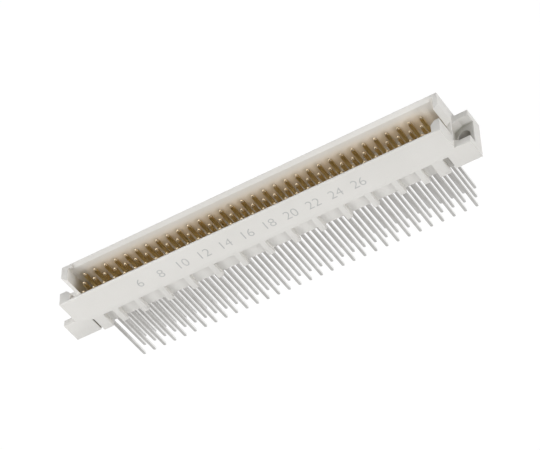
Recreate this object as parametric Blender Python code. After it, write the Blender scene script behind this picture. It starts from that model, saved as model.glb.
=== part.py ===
"""Backplane connector: a three-row header of the straight, inverted kind.

One moulded housing carries a field of contacts on a square grid. Each contact is one
straight piece: a flat blade that stands in the shroud for the mating half, and a long
square tail that goes through the board. The housing's ends are flanges with a screw
hole and a nut pocket, and ribs and feet along both sides stand it off the board.

Frame: metres, +Z up in the mating direction, X along the rows, Y across them.
The origin is on the board's surface, at the middle of the contact field.
"""
import bmesh
import bpy
from math import cos, pi, sin

# Contact field
PITCH = 0.00254
COLUMNS = 32
ROW_LETTERS = "abc"

# Contacts, with heights counted from the board's surface
BLADE_THICKNESS = 0.0006
BLADE_WIDTH = 0.0007
BLADE_TIP_HEIGHT = 0.0094
BLADE_POINT = 0.00035
BLADE_END_WIDTH_SHARE = 0.5
BLADE_END_THICKNESS_SHARE = 0.6
TAIL_SIDE = 0.0006
TAIL_LENGTH = 0.0130
TAIL_POINT = 0.0003
TAIL_END_SHARE = 0.5
SHOULDER_HEIGHT = 0.0014
CONTACT_CLEARANCE = 0.0003

# Shroud
RIM_HEIGHT = 0.0110
ROW_TO_WALL = 0.00186
SIDE_WALL = 0.0009
SHROUD_REACH = 0.00463
CAVITY_REACH = 0.00333
MATING_SHIFT = 0.0003
NEAR_LEAD_IN = 0.00045
FAR_LEAD_IN = 0.00075

# Polarising slots and corner blocks at the cavity's ends
SLOT_FLOOR_HEIGHT = 0.0057
SLOT_NEAR_Y = -0.0021
SLOT_FAR_Y = 0.0010
SLOT_FLARE = 0.0012
CORNER_BLOCK = 0.0009

# Flanges
HOLE_REACH = 0.00563
HOLE_DIAMETER = 0.0028
HOLE_SIDES = 32
FLANGE_END = 0.0022
FLANGE_THICKNESS = 0.0027
NEAR_POCKET_WALL = 0.0016
FAR_POCKET_WALL = 0.0014
POCKET_WALL_HEIGHT = 0.00215
POCKET_WIDTH = 0.0058
POCKET_REACH = 0.00185
POCKET_CORNER_LENGTH = 0.00175
POCKET_CORNER_DEPTH = 0.0009

# Ribs, feet and the notches between them
BOARD_GAP = 0.0005
NOTCH_CEILING = 0.0039
NOTCH_DEPTH = 0.0010
FLOOR_OVER_NOTCH = 0.0005
RIB_WIDTH = 0.0013
RIB_PITCH = 0.0060
END_RIB_INSET = 0.00417
FOOT_INSET = 0.00122
FOOT_REACH = 0.00113
LEFT_END_NOTCH = 0.0004
RIGHT_END_NOTCH = 0.0013

# Places that follow from the sizes above
FIELD_HALF = (COLUMNS - 1) * PITCH / 2
ROWS_HALF = (len(ROW_LETTERS) - 1) * PITCH / 2
SHROUD_HALF = FIELD_HALF + SHROUD_REACH
CAVITY_HALF = FIELD_HALF + CAVITY_REACH
CAVITY_WIDTH_HALF = ROWS_HALF + ROW_TO_WALL
WIDTH_HALF = CAVITY_WIDTH_HALF + SIDE_WALL
FLOOR_HEIGHT = NOTCH_CEILING + FLOOR_OVER_NOTCH
HOLE_HALF = FIELD_HALF + HOLE_REACH
FLANGE_FLOOR = BOARD_GAP + FLANGE_THICKNESS
FLANGE_TOP = FLANGE_FLOOR + POCKET_WALL_HEIGHT
POCKET_NEAR_Y = NEAR_POCKET_WALL - WIDTH_HALF
POCKET_FAR_Y = POCKET_NEAR_Y + POCKET_WIDTH
HOLE_Y = (POCKET_NEAR_Y + POCKET_FAR_Y) / 2
FLANGE_FAR_Y = POCKET_FAR_Y + FAR_POCKET_WALL

# How far a tool shape runs past the face that it cuts or joins
RUN_PAST = 0.0004


def clear_scene():
    for item in list(bpy.data.objects):
        bpy.data.objects.remove(item, do_unlink=True)


def plastic():
    """Light warm grey moulded plastic."""
    return principled("housing_plastic", (0.68, 0.68, 0.65, 1.0), 0.55, 0.0)


def plating():
    """Plated contact metal."""
    return principled("contact_plating", (0.72, 0.56, 0.27, 1.0), 0.3, 1.0)


def principled(name, colour, roughness, metallic):
    material = bpy.data.materials.new(name)
    material.use_nodes = True
    shader = material.node_tree.nodes["Principled BSDF"]
    shader.inputs["Base Color"].default_value = colour
    shader.inputs["Roughness"].default_value = roughness
    shader.inputs["Metallic"].default_value = metallic
    material.diffuse_color = colour
    return material


def add_rings(shape, rings):
    """Join a stack of corner rings, lowest first, into one closed body."""
    rows = [[shape.verts.new(corner) for corner in ring] for ring in rings]
    count = len(rows[0])
    for lower, upper in zip(rows, rows[1:]):
        for i in range(count):
            j = (i + 1) % count
            shape.faces.new((lower[i], lower[j], upper[j], upper[i]))
    shape.faces.new(list(reversed(rows[0])))
    shape.faces.new(rows[-1])


def add_prism(shape, outline, low, high):
    """A body with the same outline, counter-clockwise seen from +Z, all the way up."""
    add_rings(shape, [[(x, y, z) for x, y in outline] for z in (low, high)])


def rectangle(x_low, x_high, y_low, y_high):
    return [(x_low, y_low), (x_high, y_low), (x_high, y_high), (x_low, y_high)]


def facing(end, centre, outline):
    """Place an outline drawn for the +X end at either end, and keep it counter-clockwise."""
    placed = [(centre + end * x, y) for x, y in outline]
    return placed if end > 0 else list(reversed(placed))


def make_object(name, shape, material=None):
    bmesh.ops.recalc_face_normals(shape, faces=shape.faces)
    mesh = bpy.data.meshes.new(name)
    shape.to_mesh(mesh)
    shape.free()
    item = bpy.data.objects.new(name, mesh)
    bpy.context.scene.collection.objects.link(item)
    if material:
        mesh.materials.append(material)
    return item


def combine(body, shape, operation):
    """Add the tool shape to the body, or cut it away, and keep only the result."""
    tool = make_object("tool", shape)
    step = body.modifiers.new("step", "BOOLEAN")
    step.operation = operation
    step.solver = "EXACT"
    step.object = tool
    graph = bpy.context.evaluated_depsgraph_get()
    result = bpy.data.meshes.new_from_object(body.evaluated_get(graph))
    body.modifiers.remove(step)
    body.data = result
    bpy.data.objects.remove(tool, do_unlink=True)


def column_x(column):
    return column * PITCH - FIELD_HALF


def row_y(row):
    return row * PITCH - ROWS_HALF


def stands_alone(column):
    """The first column, and every second one after it, holds contacts of their own."""
    return column % 2 == 0


def contact_rings(x, y):
    """A contact's cross-sections, from the tail's point to the blade's."""
    tail = TAIL_SIDE / 2
    blade_x = BLADE_WIDTH / 2
    blade_y = BLADE_THICKNESS / 2
    sections = [
        (-TAIL_LENGTH, tail * TAIL_END_SHARE, tail * TAIL_END_SHARE),
        (-TAIL_LENGTH + TAIL_POINT, tail, tail),
        (SHOULDER_HEIGHT - TAIL_SIDE / 2, tail, tail),
        (SHOULDER_HEIGHT, blade_x, blade_y),
        (BLADE_TIP_HEIGHT - BLADE_POINT, blade_x, blade_y),
        (BLADE_TIP_HEIGHT, blade_x * BLADE_END_WIDTH_SHARE, blade_y * BLADE_END_THICKNESS_SHARE),
    ]
    return [[(px, py, z) for px, py in rectangle(x - a, x + a, y - b, y + b)] for z, a, b in sections]


def contacts(material):
    """The contacts that are pieces of their own."""
    for row, letter in enumerate(ROW_LETTERS):
        for column in range(COLUMNS):
            if stands_alone(column):
                shape = bmesh.new()
                add_rings(shape, contact_rings(column_x(column), row_y(row)))
                make_object(f"contact_{letter}{column + 1:02d}", shape, material)


def side_posts():
    """Ribs and feet along one side, as spans in X from left to right."""
    end_rib = FIELD_HALF - END_RIB_INSET
    per_side = int((end_rib - RIB_WIDTH) / RIB_PITCH)
    centres = [i * RIB_PITCH for i in range(-per_side, per_side + 1)]
    centres = [-end_rib] + centres + [end_rib]
    posts = [(x - RIB_WIDTH / 2, x + RIB_WIDTH / 2) for x in centres]
    foot = (FIELD_HALF - FOOT_INSET, FIELD_HALF + FOOT_REACH)
    return [(-foot[1], -foot[0])] + posts + [foot]


def outer_body(material):
    """The shroud's block before anything is cut."""
    shape = bmesh.new()
    outline = rectangle(-SHROUD_HALF, SHROUD_HALF, -WIDTH_HALF, WIDTH_HALF)
    add_prism(shape, outline, BOARD_GAP, RIM_HEIGHT)
    return make_object("housing", shape, material)


def flanges():
    """The two flange blocks, flush with the near wall."""
    shape = bmesh.new()
    for end in (-1, 1):
        root = SHROUD_HALF - end * MATING_SHIFT - RUN_PAST
        outline = rectangle(root, HOLE_HALF + FLANGE_END, -WIDTH_HALF, FLANGE_FAR_Y)
        add_prism(shape, facing(end, MATING_SHIFT, outline), BOARD_GAP, FLANGE_TOP)
    return shape


def posts_to_board():
    """The ribs' and feet's ends, which reach the board below the housing's underside."""
    shape = bmesh.new()
    for side in (-1, 1):
        inner = side * (WIDTH_HALF - NOTCH_DEPTH)
        y_low, y_high = sorted((inner, side * WIDTH_HALF))
        for x_low, x_high in side_posts():
            add_prism(shape, rectangle(x_low, x_high, y_low, y_high), 0.0, BOARD_GAP + RUN_PAST)
    return shape


def notches():
    """The recesses between neighbouring ribs and feet, open downwards and outwards."""
    posts = side_posts()
    starts = [posts[0][0] - LEFT_END_NOTCH] + [post[1] for post in posts]
    ends = [post[0] for post in posts] + [posts[-1][1] + RIGHT_END_NOTCH]
    shape = bmesh.new()
    for side in (-1, 1):
        inner = side * (WIDTH_HALF - NOTCH_DEPTH)
        y_low, y_high = sorted((inner, side * (WIDTH_HALF + RUN_PAST)))
        for x_low, x_high in zip(starts, ends):
            outline = rectangle(x_low, x_high, y_low, y_high)
            add_prism(shape, outline, BOARD_GAP - RUN_PAST, NOTCH_CEILING)
    return shape


def cavity():
    """The space for the mating half, with its two near corners left filled and bevelled."""
    edge = CAVITY_WIDTH_HALF
    block = CAVITY_HALF - CORNER_BLOCK
    bevel_y = SLOT_NEAR_Y - CORNER_BLOCK
    right = [(block, -edge), (block, bevel_y), (CAVITY_HALF, SLOT_NEAR_Y), (CAVITY_HALF, edge)]
    left = [(-x, y) for x, y in reversed(right)]
    shape = bmesh.new()
    outline = [(MATING_SHIFT + x, y) for x, y in right + left]
    add_prism(shape, outline, FLOOR_HEIGHT, RIM_HEIGHT + RUN_PAST)
    return shape


def end_slots():
    """The polarising slots, cut down through the end walls from the rim."""
    shape = bmesh.new()
    for end in (-1, 1):
        face = SHROUD_HALF - end * MATING_SHIFT
        outside = face + RUN_PAST
        inside = CAVITY_HALF - RUN_PAST
        slope = SLOT_FLARE / (face - CAVITY_HALF)
        far_outside = SLOT_FAR_Y + slope * (outside - CAVITY_HALF)
        outline = [
            (inside, SLOT_NEAR_Y),
            (outside, SLOT_NEAR_Y),
            (outside, far_outside),
            (CAVITY_HALF, SLOT_FAR_Y),
            (inside, SLOT_FAR_Y),
        ]
        add_prism(shape, facing(end, MATING_SHIFT, outline), SLOT_FLOOR_HEIGHT, RIM_HEIGHT + RUN_PAST)
    return shape


def lead_ins():
    """The chamfers that guide the mating half in, along both long walls."""
    shape = bmesh.new()
    half = CAVITY_HALF - CORNER_BLOCK
    top = RIM_HEIGHT + RUN_PAST
    for side, depth in ((-1, NEAR_LEAD_IN), (1, FAR_LEAD_IN)):
        outer = CAVITY_WIDTH_HALF + depth + RUN_PAST
        inner = CAVITY_WIDTH_HALF - RUN_PAST
        profile = [(inner, RIM_HEIGHT - depth - RUN_PAST), (outer, top), (inner, top)]
        ends = [[(MATING_SHIFT + x, side * y, z) for y, z in profile] for x in (-half, half)]
        add_rings(shape, ends)
    return shape


def nut_pockets():
    """The pockets over the screw holes, which open at the flanges' ends and run in under the shroud."""
    shape = bmesh.new()
    inside = HOLE_HALF - POCKET_REACH
    corner = inside + POCKET_CORNER_LENGTH
    outside = HOLE_HALF + FLANGE_END + RUN_PAST
    outline = [
        (corner, POCKET_NEAR_Y),
        (outside, POCKET_NEAR_Y),
        (outside, POCKET_FAR_Y),
        (corner, POCKET_FAR_Y),
        (inside, POCKET_FAR_Y - POCKET_CORNER_DEPTH),
        (inside, POCKET_NEAR_Y + POCKET_CORNER_DEPTH),
    ]
    for end in (-1, 1):
        add_prism(shape, facing(end, MATING_SHIFT, outline), FLANGE_FLOOR, FLANGE_TOP)
    return shape


def screw_holes():
    """The round holes through both flanges."""
    shape = bmesh.new()
    radius = HOLE_DIAMETER / 2
    for end in (-1, 1):
        centre = MATING_SHIFT + end * HOLE_HALF
        angles = [2 * pi * i / HOLE_SIDES for i in range(HOLE_SIDES)]
        outline = [(centre + radius * cos(a), HOLE_Y + radius * sin(a)) for a in angles]
        add_prism(shape, outline, BOARD_GAP - RUN_PAST, FLANGE_FLOOR + RUN_PAST)
    return shape


def contact_holes():
    """Holes through the floor for the contacts that are pieces of their own."""
    shape = bmesh.new()
    half_x = max(BLADE_WIDTH, TAIL_SIDE) / 2 + CONTACT_CLEARANCE
    half_y = max(BLADE_THICKNESS, TAIL_SIDE) / 2 + CONTACT_CLEARANCE
    for row in range(len(ROW_LETTERS)):
        for column in range(COLUMNS):
            if stands_alone(column):
                x = column_x(column)
                y = row_y(row)
                outline = rectangle(x - half_x, x + half_x, y - half_y, y + half_y)
                add_prism(shape, outline, BOARD_GAP - RUN_PAST, FLOOR_HEIGHT + RUN_PAST)
    return shape


def fixed_contacts():
    """The other contacts, which are one piece with the housing here."""
    shape = bmesh.new()
    for row in range(len(ROW_LETTERS)):
        for column in range(COLUMNS):
            if not stands_alone(column):
                add_rings(shape, contact_rings(column_x(column), row_y(row)))
    return shape


def housing(material):
    """The moulding: its blocks first, then every cut, then the contacts fixed in it."""
    body = outer_body(material)
    combine(body, flanges(), "UNION")
    combine(body, posts_to_board(), "UNION")
    combine(body, cavity(), "DIFFERENCE")
    combine(body, end_slots(), "DIFFERENCE")
    combine(body, lead_ins(), "DIFFERENCE")
    combine(body, nut_pockets(), "DIFFERENCE")
    combine(body, screw_holes(), "DIFFERENCE")
    combine(body, notches(), "DIFFERENCE")
    combine(body, contact_holes(), "DIFFERENCE")
    combine(body, fixed_contacts(), "UNION")
    body.data.shade_smooth()
    body.data.set_sharp_from_angle(angle=pi / 6)


def main():
    clear_scene()
    housing(plastic())
    contacts(plating())


main()
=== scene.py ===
"""Looks of a long three-row backplane connector: a pale moulded housing full of plated contacts.

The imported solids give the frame. The housing and every contact are modelled again here with
their moulded radii, funnels and coined points, and dressed in node materials.
"""
from functools import reduce
from math import cos, pi, radians, sin

import bmesh
import bpy
from mathutils import Matrix, Vector


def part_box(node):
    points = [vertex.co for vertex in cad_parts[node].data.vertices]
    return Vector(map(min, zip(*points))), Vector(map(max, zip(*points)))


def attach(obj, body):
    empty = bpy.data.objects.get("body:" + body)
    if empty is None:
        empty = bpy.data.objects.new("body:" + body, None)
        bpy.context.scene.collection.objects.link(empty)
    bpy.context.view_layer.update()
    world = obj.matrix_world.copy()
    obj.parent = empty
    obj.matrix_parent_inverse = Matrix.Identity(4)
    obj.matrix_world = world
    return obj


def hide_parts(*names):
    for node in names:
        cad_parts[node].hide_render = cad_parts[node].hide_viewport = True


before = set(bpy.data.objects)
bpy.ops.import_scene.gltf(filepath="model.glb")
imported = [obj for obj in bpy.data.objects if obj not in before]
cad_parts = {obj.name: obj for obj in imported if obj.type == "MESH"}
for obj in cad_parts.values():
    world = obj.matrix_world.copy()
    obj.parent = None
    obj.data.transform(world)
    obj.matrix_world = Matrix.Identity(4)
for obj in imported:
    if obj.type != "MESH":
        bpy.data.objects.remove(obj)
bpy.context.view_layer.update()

MM = 0.001

# Contact field
PITCH = 2.54 * MM
COLUMNS = 32
ROW_LETTERS = "abc"
FIELD_HALF = (COLUMNS - 1) * PITCH / 2
ROWS_HALF = (len(ROW_LETTERS) - 1) * PITCH / 2

# Contacts
BLADE_HALF_X = 0.35 * MM
BLADE_HALF_Y = 0.3 * MM
BLADE_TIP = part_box("contact_a01")[1][2]
BLADE_POINT = 0.50 * MM
TAIL_HALF = 0.3 * MM
TAIL_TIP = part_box("contact_a01")[0][2]
TAIL_POINT = 0.32 * MM
SHOULDER = 1.4 * MM
CORNER_RADIUS = 0.05 * MM
CORNER_LIMIT = 0.8
CORNER_STEPS = 3

# Ends of a contact, as shares of the full section in X and Y
BLADE_END = (0.35, 0.40)
TAIL_END = (0.50, 0.50)

# How a point widens: share of its length from the end, share of the growth to the full section
POINT_PROFILE = ((0.0, 0.0), (0.04, 0.12), (0.12, 0.26), (0.80, 0.88), (0.92, 0.97), (1.0, 1.0))

# Housing
housing_low, housing_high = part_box("housing")
RIM = housing_high[2]
NEAR_Y = housing_low[1]
FAR_Y = housing_high[1]
FLANGE_OUTSIDE = (housing_high[0] - housing_low[0]) / 2
MATING_SHIFT = (housing_high[0] + housing_low[0]) / 2
SIDE_WALL = 0.9 * MM
CAVITY_Y = FAR_Y - SIDE_WALL
SHROUD_HALF = FIELD_HALF + 4.63 * MM
CAVITY_HALF = FIELD_HALF + 3.33 * MM
FLOOR = 4.4 * MM
NEAR_LEAD_IN = 0.45 * MM
FAR_LEAD_IN = 0.75 * MM
SLOT_FLOOR = 5.7 * MM
SLOT_NEAR_Y = -2.1 * MM
SLOT_FAR_Y = 1.0 * MM
SLOT_FLARE = 1.2 * MM
CORNER_BLOCK = 0.9 * MM

# Flanges
HOLE_HALF = FIELD_HALF + 5.63 * MM
HOLE_RADIUS = 1.4 * MM
HOLE_SIDES = 48
POCKET_FLOOR = 3.2 * MM
FLANGE_TOP = 5.35 * MM
POCKET_NEAR_Y = -3.7 * MM
POCKET_FAR_Y = 2.1 * MM
FLANGE_FAR_Y = 3.5 * MM
POCKET_REACH = 1.85 * MM
POCKET_CORNER_LENGTH = 1.75 * MM
POCKET_CORNER_DEPTH = 0.9 * MM
HOLE_Y = (POCKET_NEAR_Y + POCKET_FAR_Y) / 2

# Ribs, feet and notches
UNDERSIDE = 0.5 * MM
NOTCH_CEILING = 3.9 * MM
NOTCH_DEPTH = 1.0 * MM
RIB_WIDTH = 1.3 * MM
RIB_PITCH = 6.0 * MM
RIBS_PER_SIDE = 5
END_RIB = FIELD_HALF - 4.17 * MM
FOOT_START = FIELD_HALF - 1.22 * MM
FOOT_END = FIELD_HALF + 1.13 * MM
LEFT_END_NOTCH = 0.4 * MM
RIGHT_END_NOTCH = 1.3 * MM

# Moulded edges
EDGE_RADIUS = 0.05 * MM
EDGE_STEPS = 2
EDGE_ANGLE = radians(20)
NEAR_RIM_RADIUS = 0.22 * MM
FAR_RIM_RADIUS = 0.09 * MM
RIM_STEPS = 5

# Holes that the contacts stand in
HOLE_GAP = 0.05 * MM
FUNNEL = 0.15 * MM

# Tolerances of the modelling, and the angles from which edges are shaded sharp
RUN_PAST = 0.4 * MM
SAME_PLACE = 0.01 * MM
SAME_CORNER = 0.001 * MM
FLAT_ANGLE = radians(0.5)
HOUSING_SHARP = radians(35)
CONTACT_SHARP = radians(12)

# Printed contact numbers
NUMBER_HEIGHT = 2.2 * MM
NUMBER_BASE = 6.4 * MM
NUMBER_FIRST = 6
NUMBER_LAST = 26
NUMBER_STEP = 2
FIGURE_SHARE = 0.7
FIGURE_STEPS = 6
INK_THICKNESS = 0.006 * MM
INK_TRIM = 0.035 * MM

# Colours, with two where the tone varies from place to place
PLASTIC = ((0.698, 0.684, 0.653), (0.728, 0.714, 0.685))
PLASTIC_SPECK = (0.64, 0.625, 0.59)
# Painted warm reflection of the gold on the cavity walls beside the blades
PLASTIC_PAINTED_GOLD_REFLECTION = (0.72, 0.61, 0.475)
# Painted shade in recesses, and a warmer painted shade inside the cavity
PLASTIC_PAINTED_RECESS_SHADE = (0.26, 0.235, 0.19)
PLASTIC_PAINTED_CAVITY_SHADE = (0.50, 0.42, 0.32)
# Painted shade on the nut pockets' floors
PLASTIC_PAINTED_POCKET_SHADE = (0.33, 0.32, 0.275)
GOLD = ((0.66, 0.51, 0.25), (0.60, 0.46, 0.21))
GOLD_COINED = (0.52, 0.43, 0.30)
TIN = ((0.88, 0.875, 0.863), (0.80, 0.795, 0.783))
# Tin on the faces that look along Y: partly duller sheared faces, partly a painted darker reflection of
# shaded surroundings
TIN_SHEARED_AND_PAINTED_REFLECTION = ((0.53, 0.523, 0.510), (0.455, 0.448, 0.435))
# Painted shade on the tails, darker towards the housing
TIN_PAINTED_SHADE = (0.22, 0.20, 0.175)
INK = ((0.43, 0.43, 0.425), (0.50, 0.50, 0.49))

# Roughness, least and most
PLASTIC_ROUGHNESS = (0.46, 0.58)
METAL_ROUGHNESS = (0.22, 0.36)
INK_ROUGHNESS = (0.45, 0.6)

# Textures, in features per millimetre
CLOUDS = 0.12
SPECKS = 7.0
GRAIN = 14.0
RUBBING = 0.5
WAVES = 0.25
DRAWN_LINES = 10.0
STAINS = 0.6
INK_PATCHES = 5.0
INK_SHEEN = 9.0
DRAWN_STRETCH = (1, 1, 0.04)
SPECK_LEVELS = (0.66, 0.74)

# Relief of the textures: strength and depth
GRAIN_RELIEF = (0.35, 0.012 * MM)
WAVE_RELIEF = (0.25, 0.03 * MM)
DRAWN_RELIEF = (0.2, 0.01 * MM)

# Painted shade in recesses: reach, openness up to which a place counts in full, openness from which it
# counts no more
PAINTED_SHADE_RECESSES = (5 * MM, 0.08, 0.62)
POCKET_SHADE = (4 * MM, 0.3, 1.0)

# Zones of the plastic's painted reflection and painted shade: two limits on each axis and the fades beyond
# them, X from the middle outwards
WALL_SKIN = 0.05 * MM
CAVITY_ACROSS = (-CAVITY_Y - WALL_SKIN, CAVITY_Y + WALL_SKIN, WALL_SKIN, WALL_SKIN)
# Where the warm reflection of the gold is painted onto the cavity walls
PAINTED_GOLD_REFLECTION_ZONE = {
    "X": (0, 38 * MM, MM, 4 * MM),
    "Y": CAVITY_ACROSS,
    "Z": (FLOOR + MM, 7 * MM, 0.9 * MM, 2.8 * MM),
}
# Where the painted shade of the recesses takes the warmer cavity tone
IN_CAVITY = {
    "X": (0, CAVITY_HALF + MATING_SHIFT, MM, MM),
    "Y": CAVITY_ACROSS,
    "Z": (FLOOR - 0.1 * MM, RIM - MM, 0.1 * MM, MM),
}
# Where shade is painted on the nut pockets' floors
PAINTED_SHADE_ON_POCKET_FLOOR = {
    "X": (HOLE_HALF - POCKET_REACH - WALL_SKIN, FLANGE_OUTSIDE + MM, 2 * WALL_SKIN, MM),
    "Y": (POCKET_NEAR_Y - WALL_SKIN, POCKET_FAR_Y + WALL_SKIN, WALL_SKIN, WALL_SKIN),
    "Z": (POCKET_FLOOR - WALL_SKIN, POCKET_FLOOR + WALL_SKIN, WALL_SKIN, 0.45 * MM),
}

# Where the contacts' plating changes, and where their painted reflection and painted shade fall
GOLD_BLEND = 0.3 * MM
COINED_EDGE = 0.9
# Faces looking along Y get the sheared tin with its painted darker reflection
SHEARED_AND_PAINTED_REFLECTION_FACES = (0.55, 0.85)
# Painted shade on the tails: where it starts, where it is full, and how much it darkens
PAINTED_SHADE_START = -11.5 * MM
PAINTED_SHADE_FULL = -5.5 * MM
PAINTED_SHADE_SHARE = 0.28

# Level of the light that comes from all round
AMBIENT = 0.03

# Floor: share of lit paper in what is seen, glow of the rest, the paper's looks, and half its side in metres
FLOOR_SHADOW_SHARE = 0.10
FLOOR_GLOW = 1.08
FLOOR_COLOUR = (0.6, 0.6, 0.6)
FLOOR_ROUGHNESS = 0.9
FLOOR_HALF = 1.5

# Softboxes: name, direction from the object, distance, side of the square, level
SOFTBOXES = (
    ("left_key", (-0.72, -0.53, 0.42), 3.0, 1.50, 0.755),
    ("right_front", (0.56, -0.75, 0.35), 1.5, 0.30, 0.205),
    ("right_low", (0.84, -0.52, 0.12), 1.5, 0.40, 0.345),
    ("right_back", (0.86, 0.42, 0.28), 1.5, 0.60, 0.25),
    ("back_left", (-0.50, 0.55, 0.67), 1.5, 0.70, 0.115),
    ("back_right", (0.45, 0.55, 0.70), 1.5, 0.70, 0.115),
    ("top_left", (-0.60, 0.00, 0.80), 1.5, 0.70, 0.16),
)

# Camera: lens and sensor in millimetres, its right and back directions, its place and its clipping range
CAMERA_LENS = 146.13
CAMERA_SENSOR = 36.0
CAMERA_RIGHT = (0.84693342, -0.01838678, -0.53138095)
CAMERA_BACK = (0.36290062, -0.7104303, 0.60298584)
CAMERA_PLACE = (159.225 * MM, -309.432 * MM, 265.223 * MM)
CAMERA_RANGE = (0.01, 10.0)


def add_rings(shape, rings):
    """Join a stack of corner rings, lowest first, into one closed body."""
    rows = [[shape.verts.new(corner) for corner in ring] for ring in rings]
    count = len(rows[0])
    for lower, upper in zip(rows, rows[1:]):
        for i in range(count):
            j = (i + 1) % count
            shape.faces.new((lower[i], lower[j], upper[j], upper[i]))
    shape.faces.new(list(reversed(rows[0])))
    shape.faces.new(rows[-1])


def add_prism(shape, outline, low, high):
    add_rings(shape, [[(x, y, z) for x, y in outline] for z in (low, high)])


def rectangle(x_low, x_high, y_low, y_high):
    return [(x_low, y_low), (x_high, y_low), (x_high, y_high), (x_low, y_high)]


def facing(end, outline):
    """Place an outline drawn for the +X end at either end of the mating interface."""
    placed = [(MATING_SHIFT + end * x, y) for x, y in outline]
    return placed if end > 0 else list(reversed(placed))


def make_object(name, shape):
    bmesh.ops.recalc_face_normals(shape, faces=shape.faces)
    mesh = bpy.data.meshes.new(name)
    shape.to_mesh(mesh)
    shape.free()
    item = bpy.data.objects.new(name, mesh)
    bpy.context.scene.collection.objects.link(item)
    return item


def bake(item):
    """Replace the object's mesh by what its modifiers make of it."""
    graph = bpy.context.evaluated_depsgraph_get()
    result = bpy.data.meshes.new_from_object(item.evaluated_get(graph))
    item.modifiers.clear()
    item.data = result


def combine(body, shape, operation):
    tool = make_object("tool", shape)
    step = body.modifiers.new("step", "BOOLEAN")
    step.operation = operation
    step.solver = "EXACT"
    step.object = tool
    bake(body)
    bpy.data.objects.remove(tool, do_unlink=True)


def rounded_rectangle(half_x, half_y, radius):
    """Corner points of a rectangle with round corners, counter-clockwise from +X."""
    points = []
    for turn in range(4):
        side_x = 1 if turn in (0, 3) else -1
        side_y = 1 if turn in (0, 1) else -1
        for i in range(CORNER_STEPS):
            angle = (turn + i / (CORNER_STEPS - 1)) * pi / 2
            x = side_x * (half_x - radius) + radius * cos(angle)
            y = side_y * (half_y - radius) + radius * sin(angle)
            points.append((x, y))
    return points


# Housing shapes

def flange_blocks():
    shape = bmesh.new()
    for end in (-1, 1):
        root = SHROUD_HALF - end * MATING_SHIFT - RUN_PAST
        outline = rectangle(root, FLANGE_OUTSIDE, NEAR_Y, FLANGE_FAR_Y)
        add_prism(shape, facing(end, outline), UNDERSIDE, FLANGE_TOP)
    return shape


def side_posts():
    """Ribs and feet along one side, as spans in X from left to right."""
    centres = [i * RIB_PITCH for i in range(-RIBS_PER_SIDE, RIBS_PER_SIDE + 1)]
    centres = [-END_RIB] + centres + [END_RIB]
    ribs = [(x - RIB_WIDTH / 2, x + RIB_WIDTH / 2) for x in centres]
    return [(-FOOT_END, -FOOT_START)] + ribs + [(FOOT_START, FOOT_END)]


def side_span(side, outwards=0.0):
    """The strip along one long side that ribs and notches share, as two Y values."""
    face = FAR_Y if side > 0 else NEAR_Y
    return sorted((face - side * NOTCH_DEPTH, face + side * outwards))


def post_ends():
    shape = bmesh.new()
    for side in (-1, 1):
        for x_low, x_high in side_posts():
            outline = rectangle(x_low, x_high, *side_span(side))
            add_prism(shape, outline, 0.0, UNDERSIDE + RUN_PAST)
    return shape


def notches():
    posts = side_posts()
    starts = [posts[0][0] - LEFT_END_NOTCH] + [post[1] for post in posts]
    ends = [post[0] for post in posts] + [posts[-1][1] + RIGHT_END_NOTCH]
    shape = bmesh.new()
    for side in (-1, 1):
        for x_low, x_high in zip(starts, ends):
            outline = rectangle(x_low, x_high, *side_span(side, RUN_PAST))
            add_prism(shape, outline, UNDERSIDE - RUN_PAST, NOTCH_CEILING)
    return shape


def cavity():
    """The space for the mating half, with its near corners left filled and bevelled."""
    block = CAVITY_HALF - CORNER_BLOCK
    right = [
        (block, -CAVITY_Y),
        (block, SLOT_NEAR_Y - CORNER_BLOCK),
        (CAVITY_HALF, SLOT_NEAR_Y),
        (CAVITY_HALF, CAVITY_Y),
    ]
    left = [(-x, y) for x, y in reversed(right)]
    shape = bmesh.new()
    add_prism(shape, [(MATING_SHIFT + x, y) for x, y in right + left], FLOOR, RIM + RUN_PAST)
    return shape


def end_slots():
    shape = bmesh.new()
    for end in (-1, 1):
        face = SHROUD_HALF - end * MATING_SHIFT
        outside = face + RUN_PAST
        inside = CAVITY_HALF - RUN_PAST
        far_outside = SLOT_FAR_Y + SLOT_FLARE * (outside - CAVITY_HALF) / (face - CAVITY_HALF)
        outline = [
            (inside, SLOT_NEAR_Y),
            (outside, SLOT_NEAR_Y),
            (outside, far_outside),
            (CAVITY_HALF, SLOT_FAR_Y),
            (inside, SLOT_FAR_Y),
        ]
        add_prism(shape, facing(end, outline), SLOT_FLOOR, RIM + RUN_PAST)
    return shape


def lead_ins():
    shape = bmesh.new()
    half = CAVITY_HALF - CORNER_BLOCK
    inside = CAVITY_Y - RUN_PAST
    top = RIM + RUN_PAST
    for side, depth in ((-1, NEAR_LEAD_IN), (1, FAR_LEAD_IN)):
        outside = CAVITY_Y + depth + RUN_PAST
        profile = [(inside, RIM - depth - RUN_PAST), (outside, top), (inside, top)]
        add_rings(shape, [[(MATING_SHIFT + x, side * y, z) for y, z in profile] for x in (-half, half)])
    return shape


def nut_pockets():
    shape = bmesh.new()
    inside = HOLE_HALF - POCKET_REACH
    corner = inside + POCKET_CORNER_LENGTH
    outside = FLANGE_OUTSIDE + RUN_PAST
    outline = [
        (corner, POCKET_NEAR_Y),
        (outside, POCKET_NEAR_Y),
        (outside, POCKET_FAR_Y),
        (corner, POCKET_FAR_Y),
        (inside, POCKET_FAR_Y - POCKET_CORNER_DEPTH),
        (inside, POCKET_NEAR_Y + POCKET_CORNER_DEPTH),
    ]
    for end in (-1, 1):
        add_prism(shape, facing(end, outline), POCKET_FLOOR, FLANGE_TOP)
    return shape


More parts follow.
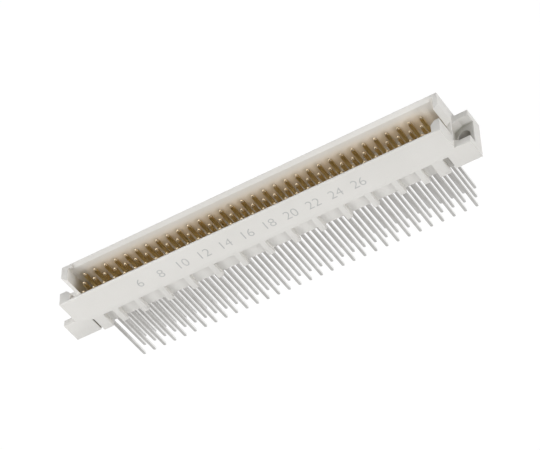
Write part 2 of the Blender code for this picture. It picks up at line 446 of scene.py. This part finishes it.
def screw_holes():
    shape = bmesh.new()
    for end in (-1, 1):
        centre = MATING_SHIFT + end * HOLE_HALF
        angles = [2 * pi * i / HOLE_SIDES for i in range(HOLE_SIDES)]
        outline = [(centre + HOLE_RADIUS * cos(a), HOLE_Y + HOLE_RADIUS * sin(a)) for a in angles]
        add_prism(shape, outline, UNDERSIDE - RUN_PAST, POCKET_FLOOR + RUN_PAST)
    return shape


def contact_holes():
    """Stepped holes with a funnel at each mouth, one for every contact."""
    tail = TAIL_HALF + HOLE_GAP
    blade_x = BLADE_HALF_X + HOLE_GAP
    blade_y = BLADE_HALF_Y + HOLE_GAP
    levels = [
        (UNDERSIDE - FUNNEL, tail + 2 * FUNNEL, tail + 2 * FUNNEL),
        (UNDERSIDE + FUNNEL, tail, tail),
        (SHOULDER - TAIL_HALF, tail, tail),
        (SHOULDER, blade_x, blade_y),
        (FLOOR - FUNNEL, blade_x, blade_y),
        (FLOOR + FUNNEL, blade_x + 2 * FUNNEL, blade_y + 2 * FUNNEL),
    ]
    shape = bmesh.new()
    for _, _, x, y in contact_places():
        rings = []
        for z, half_x, half_y in levels:
            outline = rectangle(x - half_x, x + half_x, y - half_y, y + half_y)
            rings.append([(corner_x, corner_y, z) for corner_x, corner_y in outline])
        add_rings(shape, rings)
    return shape


def contact_places():
    """Each contact's row letter, its column counted from 0, and its place in X and Y."""
    for row, letter in enumerate(ROW_LETTERS):
        for column in range(COLUMNS):
            yield letter, column, column * PITCH - FIELD_HALF, row * PITCH - ROWS_HALF


def housing_piece():
    """The moulding: blocks, cuts, then its rounded edges, then the holes for the contacts."""
    shape = bmesh.new()
    add_prism(shape, rectangle(-SHROUD_HALF, SHROUD_HALF, NEAR_Y, FAR_Y), UNDERSIDE, RIM)
    body = make_object("moulded_housing", shape)
    for blocks in (flange_blocks(), post_ends()):
        combine(body, blocks, "UNION")
    for cut in (cavity(), end_slots(), lead_ins(), nut_pockets(), screw_holes(), notches()):
        combine(body, cut, "DIFFERENCE")
    tidy_faces(body.data)
    bevel = body.modifiers.new("moulded_edges", "BEVEL")
    bevel.width = EDGE_RADIUS
    bevel.segments = EDGE_STEPS
    bevel.limit_method = "ANGLE"
    bevel.angle_limit = EDGE_ANGLE
    bevel.use_clamp_overlap = False
    bake(body)
    combine(body, contact_holes(), "DIFFERENCE")
    body.data.shade_smooth()
    body.data.set_sharp_from_angle(angle=HOUSING_SHARP)
    return body


def along_rim(edge, y):
    """Whether the edge runs along the top of the long face at y."""
    return all(abs(vert.co.z - RIM) < SAME_PLACE and abs(vert.co.y - y) < SAME_PLACE for vert in edge.verts)


def tidy_faces(mesh):
    """Merge flat neighbours, drop stray points and round the rim's long outer edges."""
    shape = bmesh.new()
    shape.from_mesh(mesh)
    bmesh.ops.remove_doubles(shape, verts=shape.verts, dist=SAME_CORNER)
    bmesh.ops.dissolve_limit(shape, angle_limit=FLAT_ANGLE, verts=shape.verts, edges=shape.edges)
    for y, radius in ((NEAR_Y, NEAR_RIM_RADIUS), (FAR_Y, FAR_RIM_RADIUS)):
        rim = [edge for edge in shape.edges if along_rim(edge, y)]
        bmesh.ops.bevel(shape, geom=rim, offset=radius, segments=RIM_STEPS, profile=0.5, affect="EDGES")
    shape.to_mesh(mesh)
    shape.free()


# Contacts

def point(tip, length, halves, ends):
    """Sections of a coined point, from its end to the full section: height and half sizes."""
    return [
        (tip + length * way, *(half * (end + (1 - end) * growth) for half, end in zip(halves, ends)))
        for way, growth in POINT_PROFILE
    ]


def contact_levels():
    """A contact's sections from tail point to blade point: height and half sizes."""
    tail = point(TAIL_TIP, TAIL_POINT, (TAIL_HALF, TAIL_HALF), TAIL_END)
    blade = point(BLADE_TIP, -BLADE_POINT, (BLADE_HALF_X, BLADE_HALF_Y), BLADE_END)
    shoulder = [(SHOULDER - TAIL_HALF, TAIL_HALF, TAIL_HALF), (SHOULDER, BLADE_HALF_X, BLADE_HALF_Y)]
    return tail + shoulder + blade[::-1]


def contact_mesh():
    """One contact at the origin of its grid place."""
    shape = bmesh.new()
    rings = []
    for z, half_x, half_y in contact_levels():
        radius = min(CORNER_RADIUS, CORNER_LIMIT * half_x)
        rings.append([(x, y, z) for x, y in rounded_rectangle(half_x, half_y, radius)])
    add_rings(shape, rings)
    bmesh.ops.recalc_face_normals(shape, faces=shape.faces)
    return shape


def contact_pieces(material):
    """All contacts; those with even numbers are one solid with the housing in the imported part."""
    for letter, column, x, y in contact_places():
        name = f"{letter}{column + 1:02d}"
        shape = contact_mesh()
        bmesh.ops.translate(shape, verts=shape.verts, vec=Vector((x, y, 0)))
        piece = make_object(f"plated_contact_{name}", shape)
        piece.data.shade_smooth()
        piece.data.set_sharp_from_angle(angle=CONTACT_SHARP)
        piece.data.materials.append(material)
        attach(piece, "root")
        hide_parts(f"contact_{name}" if column % 2 == 0 else "housing")


# Printed numbers

def number_mesh(text):
    curve = bpy.data.curves.new("number", "FONT")
    curve.body = text
    curve.size = NUMBER_HEIGHT / FIGURE_SHARE
    curve.align_x = "CENTER"
    curve.extrude = INK_THICKNESS
    curve.resolution_u = FIGURE_STEPS
    curve.offset = -INK_TRIM
    item = bpy.data.objects.new("number", curve)
    bpy.context.scene.collection.objects.link(item)
    graph = bpy.context.evaluated_depsgraph_get()
    mesh = bpy.data.meshes.new_from_object(item.evaluated_get(graph))
    bpy.data.objects.remove(item, do_unlink=True)
    return mesh


def number_pieces(material):
    """Contact numbers along the near wall, each over its own column."""
    upright = Matrix.Rotation(pi / 2, 4, "X")
    for number in range(NUMBER_FIRST, NUMBER_LAST + 1, NUMBER_STEP):
        mesh = number_mesh(str(number))
        x = (number - 1) * PITCH - FIELD_HALF
        mesh.transform(Matrix.Translation((x, NEAR_Y, NUMBER_BASE)) @ upright)
        piece = bpy.data.objects.new(f"printed_number_{number:02d}", mesh)
        bpy.context.scene.collection.objects.link(piece)
        mesh.materials.clear()
        mesh.materials.append(material)
        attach(piece, "root")


# Materials

class Nodes:
    """Short calls for building one material's node tree."""

    def __init__(self, name):
        self.material = bpy.data.materials.new(name)
        self.material.use_nodes = True
        self.tree = self.material.node_tree
        self.shader = self.tree.nodes["Principled BSDF"]
        self.place = self.add("ShaderNodeTexCoord").outputs["Object"]

    def add(self, kind, **settings):
        node = self.tree.nodes.new(kind)
        for key, value in settings.items():
            setattr(node, key, value)
        return node

    def link(self, source, target):
        self.tree.links.new(source, target)

    def noise(self, scale, detail=3.0, stretch=(1, 1, 1)):
        """Noise whose scale is given as features per millimetre."""
        mapping = self.add("ShaderNodeMapping")
        mapping.inputs["Scale"].default_value = [scale * s / MM for s in stretch]
        self.link(self.place, mapping.inputs["Vector"])
        node = self.add("ShaderNodeTexNoise")
        node.inputs["Scale"].default_value = 1.0
        node.inputs["Detail"].default_value = detail
        self.link(mapping.outputs["Vector"], node.inputs["Vector"])
        return node.outputs["Fac"]

    def spread(self, value, low, high, from_low=0.3, from_high=0.7):
        """Map a range of the value to low and high. Noise mostly stays within the range given here."""
        node = self.add("ShaderNodeMapRange")
        node.inputs["From Min"].default_value = from_low
        node.inputs["From Max"].default_value = from_high
        node.inputs["To Min"].default_value = low
        node.inputs["To Max"].default_value = high
        self.link(value, node.inputs["Value"])
        return node.outputs["Result"]

    def mix(self, factor, first, second):
        """Blend two colours. The node's colour sockets are its inputs 6 and 7 and its output 2."""
        node = self.add("ShaderNodeMix", data_type="RGBA")
        self.link(factor, node.inputs["Factor"])
        for socket, value in ((node.inputs[6], first), (node.inputs[7], second)):
            if isinstance(value, tuple):
                socket.default_value = (*value, 1.0)
            else:
                self.link(value, socket)
        return node.outputs[2]

    def bump(self, height, strength, distance, base=None):
        node = self.add("ShaderNodeBump")
        node.inputs["Strength"].default_value = strength
        node.inputs["Distance"].default_value = distance
        self.link(height, node.inputs["Height"])
        if base:
            self.link(base, node.inputs["Normal"])
        return node.outputs["Normal"]

    def side_share(self, low, high):
        """0 on faces that look along X and 1 on faces that look along Y."""
        coordinates = self.add("ShaderNodeTexCoord")
        split = self.add("ShaderNodeSeparateXYZ")
        self.link(coordinates.outputs["Normal"], split.inputs["Vector"])
        size = self.add("ShaderNodeMath", operation="ABSOLUTE")
        self.link(split.outputs["Y"], size.inputs[0])
        return self.spread(size.outputs[0], 0, 1, low, high)

    def recess(self, reach, low, high):
        """1 where the openness within reach is low or less, and 0 where it is high or more."""
        node = self.add("ShaderNodeAmbientOcclusion", samples=8)
        node.inputs["Distance"].default_value = reach
        return self.spread(node.outputs["AO"], 1, 0, low, high)

    def within(self, **spans):
        """1 inside the limits on every axis given, and 0 beyond their fades."""
        split = self.add("ShaderNodeSeparateXYZ")
        self.link(self.place, split.inputs["Vector"])
        shares = []
        for axis, (low, high, fade_before, fade_after) in spans.items():
            value = split.outputs[axis]
            if axis == "X":
                size = self.add("ShaderNodeMath", operation="ABSOLUTE")
                self.link(value, size.inputs[0])
                value = size.outputs[0]
            shares.append(self.spread(value, 0, 1, low - fade_before, low))
            shares.append(self.spread(value, 1, 0, high, high + fade_after))
        return reduce(self.times, shares)

    def times(self, first, second):
        node = self.add("ShaderNodeMath", operation="MULTIPLY")
        self.link(first, node.inputs[0])
        self.link(second, node.inputs[1])
        return node.outputs[0]

    def set(self, **values):
        for key, value in values.items():
            self.shader.inputs[key.replace("_", " ")].default_value = value


def moulded_plastic():
    """Pale warm grey plastic, spark-eroded to a fine matt skin, with faint clouding, painted shade in
    recesses and on the pocket floors, and a painted warm reflection of the gold in the cavity.
    """
    n = Nodes("moulded_plastic")
    clouds = n.spread(n.noise(CLOUDS, detail=4), 0, 1)
    specks = n.spread(n.noise(SPECKS, detail=1), 0, 1, *SPECK_LEVELS)
    tone = n.mix(clouds, *PLASTIC)
    tone = n.mix(specks, tone, PLASTIC_SPECK)
    # Painted warm reflection of the gold on the lower cavity walls
    tone = n.mix(n.within(**PAINTED_GOLD_REFLECTION_ZONE), tone, PLASTIC_PAINTED_GOLD_REFLECTION)
    # Painted shade in recesses, darkest where the openness is least
    recess_shade = n.mix(n.within(**IN_CAVITY), PLASTIC_PAINTED_RECESS_SHADE, PLASTIC_PAINTED_CAVITY_SHADE)
    tone = n.mix(n.recess(*PAINTED_SHADE_RECESSES), tone, recess_shade)
    # Painted shade on the pocket floors, strongest where the pocket is most closed
    shade = n.times(n.within(**PAINTED_SHADE_ON_POCKET_FLOOR), n.recess(*POCKET_SHADE))
    tone = n.mix(shade, tone, PLASTIC_PAINTED_POCKET_SHADE)
    n.link(tone, n.shader.inputs["Base Color"])
    n.link(n.spread(n.noise(RUBBING), *PLASTIC_ROUGHNESS), n.shader.inputs["Roughness"])
    grain = n.bump(n.noise(GRAIN, detail=2), *GRAIN_RELIEF)
    n.link(n.bump(n.noise(WAVES, detail=2), *WAVE_RELIEF, base=grain), n.shader.inputs["Normal"])
    n.set(Metallic=0.0, IOR=1.5)
    return n.material


def contact_metal():
    """Gold over the blade and tin over the tail, marked lengthwise; the tin is darker on the faces that look
    along Y, partly as duller sheared faces and partly as painted reflection, and has painted shade towards
    the housing.
    """
    n = Nodes("contact_metal")
    split = n.add("ShaderNodeSeparateXYZ")
    n.link(n.place, split.inputs["Vector"])
    height = split.outputs["Z"]
    drawn = n.noise(DRAWN_LINES, stretch=DRAWN_STRETCH)
    stain = n.spread(n.noise(STAINS), 0, 1)
    coined = n.spread(height, 0, 1, BLADE_TIP - BLADE_POINT, BLADE_TIP - COINED_EDGE * BLADE_POINT)
    gold = n.mix(coined, n.mix(stain, *GOLD), GOLD_COINED)
    # Faces that look along Y are darker: partly sheared finish, partly painted reflection
    tin = n.mix(n.side_share(*SHEARED_AND_PAINTED_REFLECTION_FACES), n.mix(stain, *TIN), n.mix(stain, *TIN_SHEARED_AND_PAINTED_REFLECTION))
    # Painted shade on the tails towards the housing, where less light reaches them
    tin = n.mix(n.spread(height, 0, PAINTED_SHADE_SHARE, PAINTED_SHADE_START, PAINTED_SHADE_FULL), tin, TIN_PAINTED_SHADE)
    gilt = n.spread(height, 0, 1, SHOULDER, SHOULDER + GOLD_BLEND)
    n.link(n.mix(gilt, tin, gold), n.shader.inputs["Base Color"])
    n.link(n.spread(drawn, *METAL_ROUGHNESS), n.shader.inputs["Roughness"])
    n.link(n.bump(drawn, *DRAWN_RELIEF), n.shader.inputs["Normal"])
    n.set(Metallic=1.0)
    return n.material


def printing_ink():
    """Thin grey ink, slightly patchy."""
    n = Nodes("printing_ink")
    patches = n.spread(n.noise(INK_PATCHES), 0, 1)
    n.link(n.mix(patches, *INK), n.shader.inputs["Base Color"])
    n.link(n.spread(n.noise(INK_SHEEN), *INK_ROUGHNESS), n.shader.inputs["Roughness"])
    return n.material


# Studio

def seen_directly(tree):
    """1 for camera, mirror and glass rays, which see the plain background."""
    path = tree.nodes.new("ShaderNodeLightPath")
    total = path.outputs["Is Camera Ray"]
    for name in ("Is Glossy Ray", "Is Transmission Ray"):
        node = tree.nodes.new("ShaderNodeMath")
        node.operation = "MAXIMUM"
        tree.links.new(total, node.inputs[0])
        tree.links.new(path.outputs[name], node.inputs[1])
        total = node.outputs[0]
    return total


def studio_world():
    world = bpy.data.worlds.new("studio")
    bpy.context.scene.world = world
    world.use_nodes = True
    tree = world.node_tree
    background = tree.nodes["Background"]
    background.inputs["Color"].default_value = (1, 1, 1, 1)
    level = tree.nodes.new("ShaderNodeMapRange")
    level.inputs["To Min"].default_value = AMBIENT
    level.inputs["To Max"].default_value = 1.0
    tree.links.new(seen_directly(tree), level.inputs["Value"])
    tree.links.new(level.outputs["Result"], background.inputs["Strength"])


def studio_floor():
    """A plain pale floor that shows white and keeps a faint shadow of the object."""
    shape = bmesh.new()
    outline = rectangle(-FLOOR_HALF, FLOOR_HALF, -FLOOR_HALF, FLOOR_HALF)
    shape.faces.new([shape.verts.new((x, y, TAIL_TIP)) for x, y in outline])
    floor = make_object("studio_floor", shape)
    material = bpy.data.materials.new("floor_paper")
    material.use_nodes = True
    tree = material.node_tree
    shader = tree.nodes["Principled BSDF"]
    shader.inputs["Base Color"].default_value = (*FLOOR_COLOUR, 1)
    shader.inputs["Roughness"].default_value = FLOOR_ROUGHNESS
    glow = tree.nodes.new("ShaderNodeEmission")
    glow.inputs["Color"].default_value = (1, 1, 1, 1)
    glow.inputs["Strength"].default_value = FLOOR_GLOW
    share = tree.nodes.new("ShaderNodeMath")
    share.operation = "MULTIPLY"
    share.inputs[1].default_value = 1 - FLOOR_SHADOW_SHARE
    tree.links.new(seen_directly(tree), share.inputs[0])
    mix = tree.nodes.new("ShaderNodeMixShader")
    tree.links.new(share.outputs[0], mix.inputs["Fac"])
    tree.links.new(shader.outputs["BSDF"], mix.inputs[1])
    tree.links.new(glow.outputs["Emission"], mix.inputs[2])
    tree.links.new(mix.outputs["Shader"], tree.nodes["Material Output"].inputs["Surface"])
    floor.data.materials.append(material)


def softbox(name, direction, distance, size, level):
    """A square area light aimed at the middle; level is the irradiance that it gives there, over pi."""
    light = bpy.data.lights.new(name, "AREA")
    light.shape = "SQUARE"
    light.size = size
    light.energy = level * pi * pi * distance * distance
    item = bpy.data.objects.new(name, light)
    bpy.context.scene.collection.objects.link(item)
    away = Vector(direction).normalized()
    item.location = away * distance
    item.rotation_euler = away.to_track_quat("Z", "Y").to_euler()


def studio_lights():
    for values in SOFTBOXES:
        softbox(*values)


def photo_camera():
    """The camera as solved from the photograph: a long lens, rolled about its axis."""
    camera = bpy.data.cameras.new("photo_camera")
    camera.sensor_fit = "HORIZONTAL"
    camera.sensor_width = CAMERA_SENSOR
    camera.lens = CAMERA_LENS
    camera.clip_start, camera.clip_end = CAMERA_RANGE
    item = bpy.data.objects.new("photo_camera", camera)
    bpy.context.scene.collection.objects.link(item)
    right = Vector(CAMERA_RIGHT).normalized()
    back = Vector(CAMERA_BACK).normalized()
    columns = (right, back.cross(right), back, Vector(CAMERA_PLACE))
    item.matrix_world = Matrix([[column[i] for column in columns] for i in range(3)] + [[0, 0, 0, 1]])
    bpy.context.scene.camera = item


def main():
    photo_camera()
    housing = housing_piece()
    housing.data.materials.clear()
    housing.data.materials.append(moulded_plastic())
    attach(housing, "root")
    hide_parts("housing")
    contact_pieces(contact_metal())
    number_pieces(printing_ink())
    studio_world()
    studio_floor()
    studio_lights()
    bpy.context.scene.view_settings.view_transform = "Standard"


main()
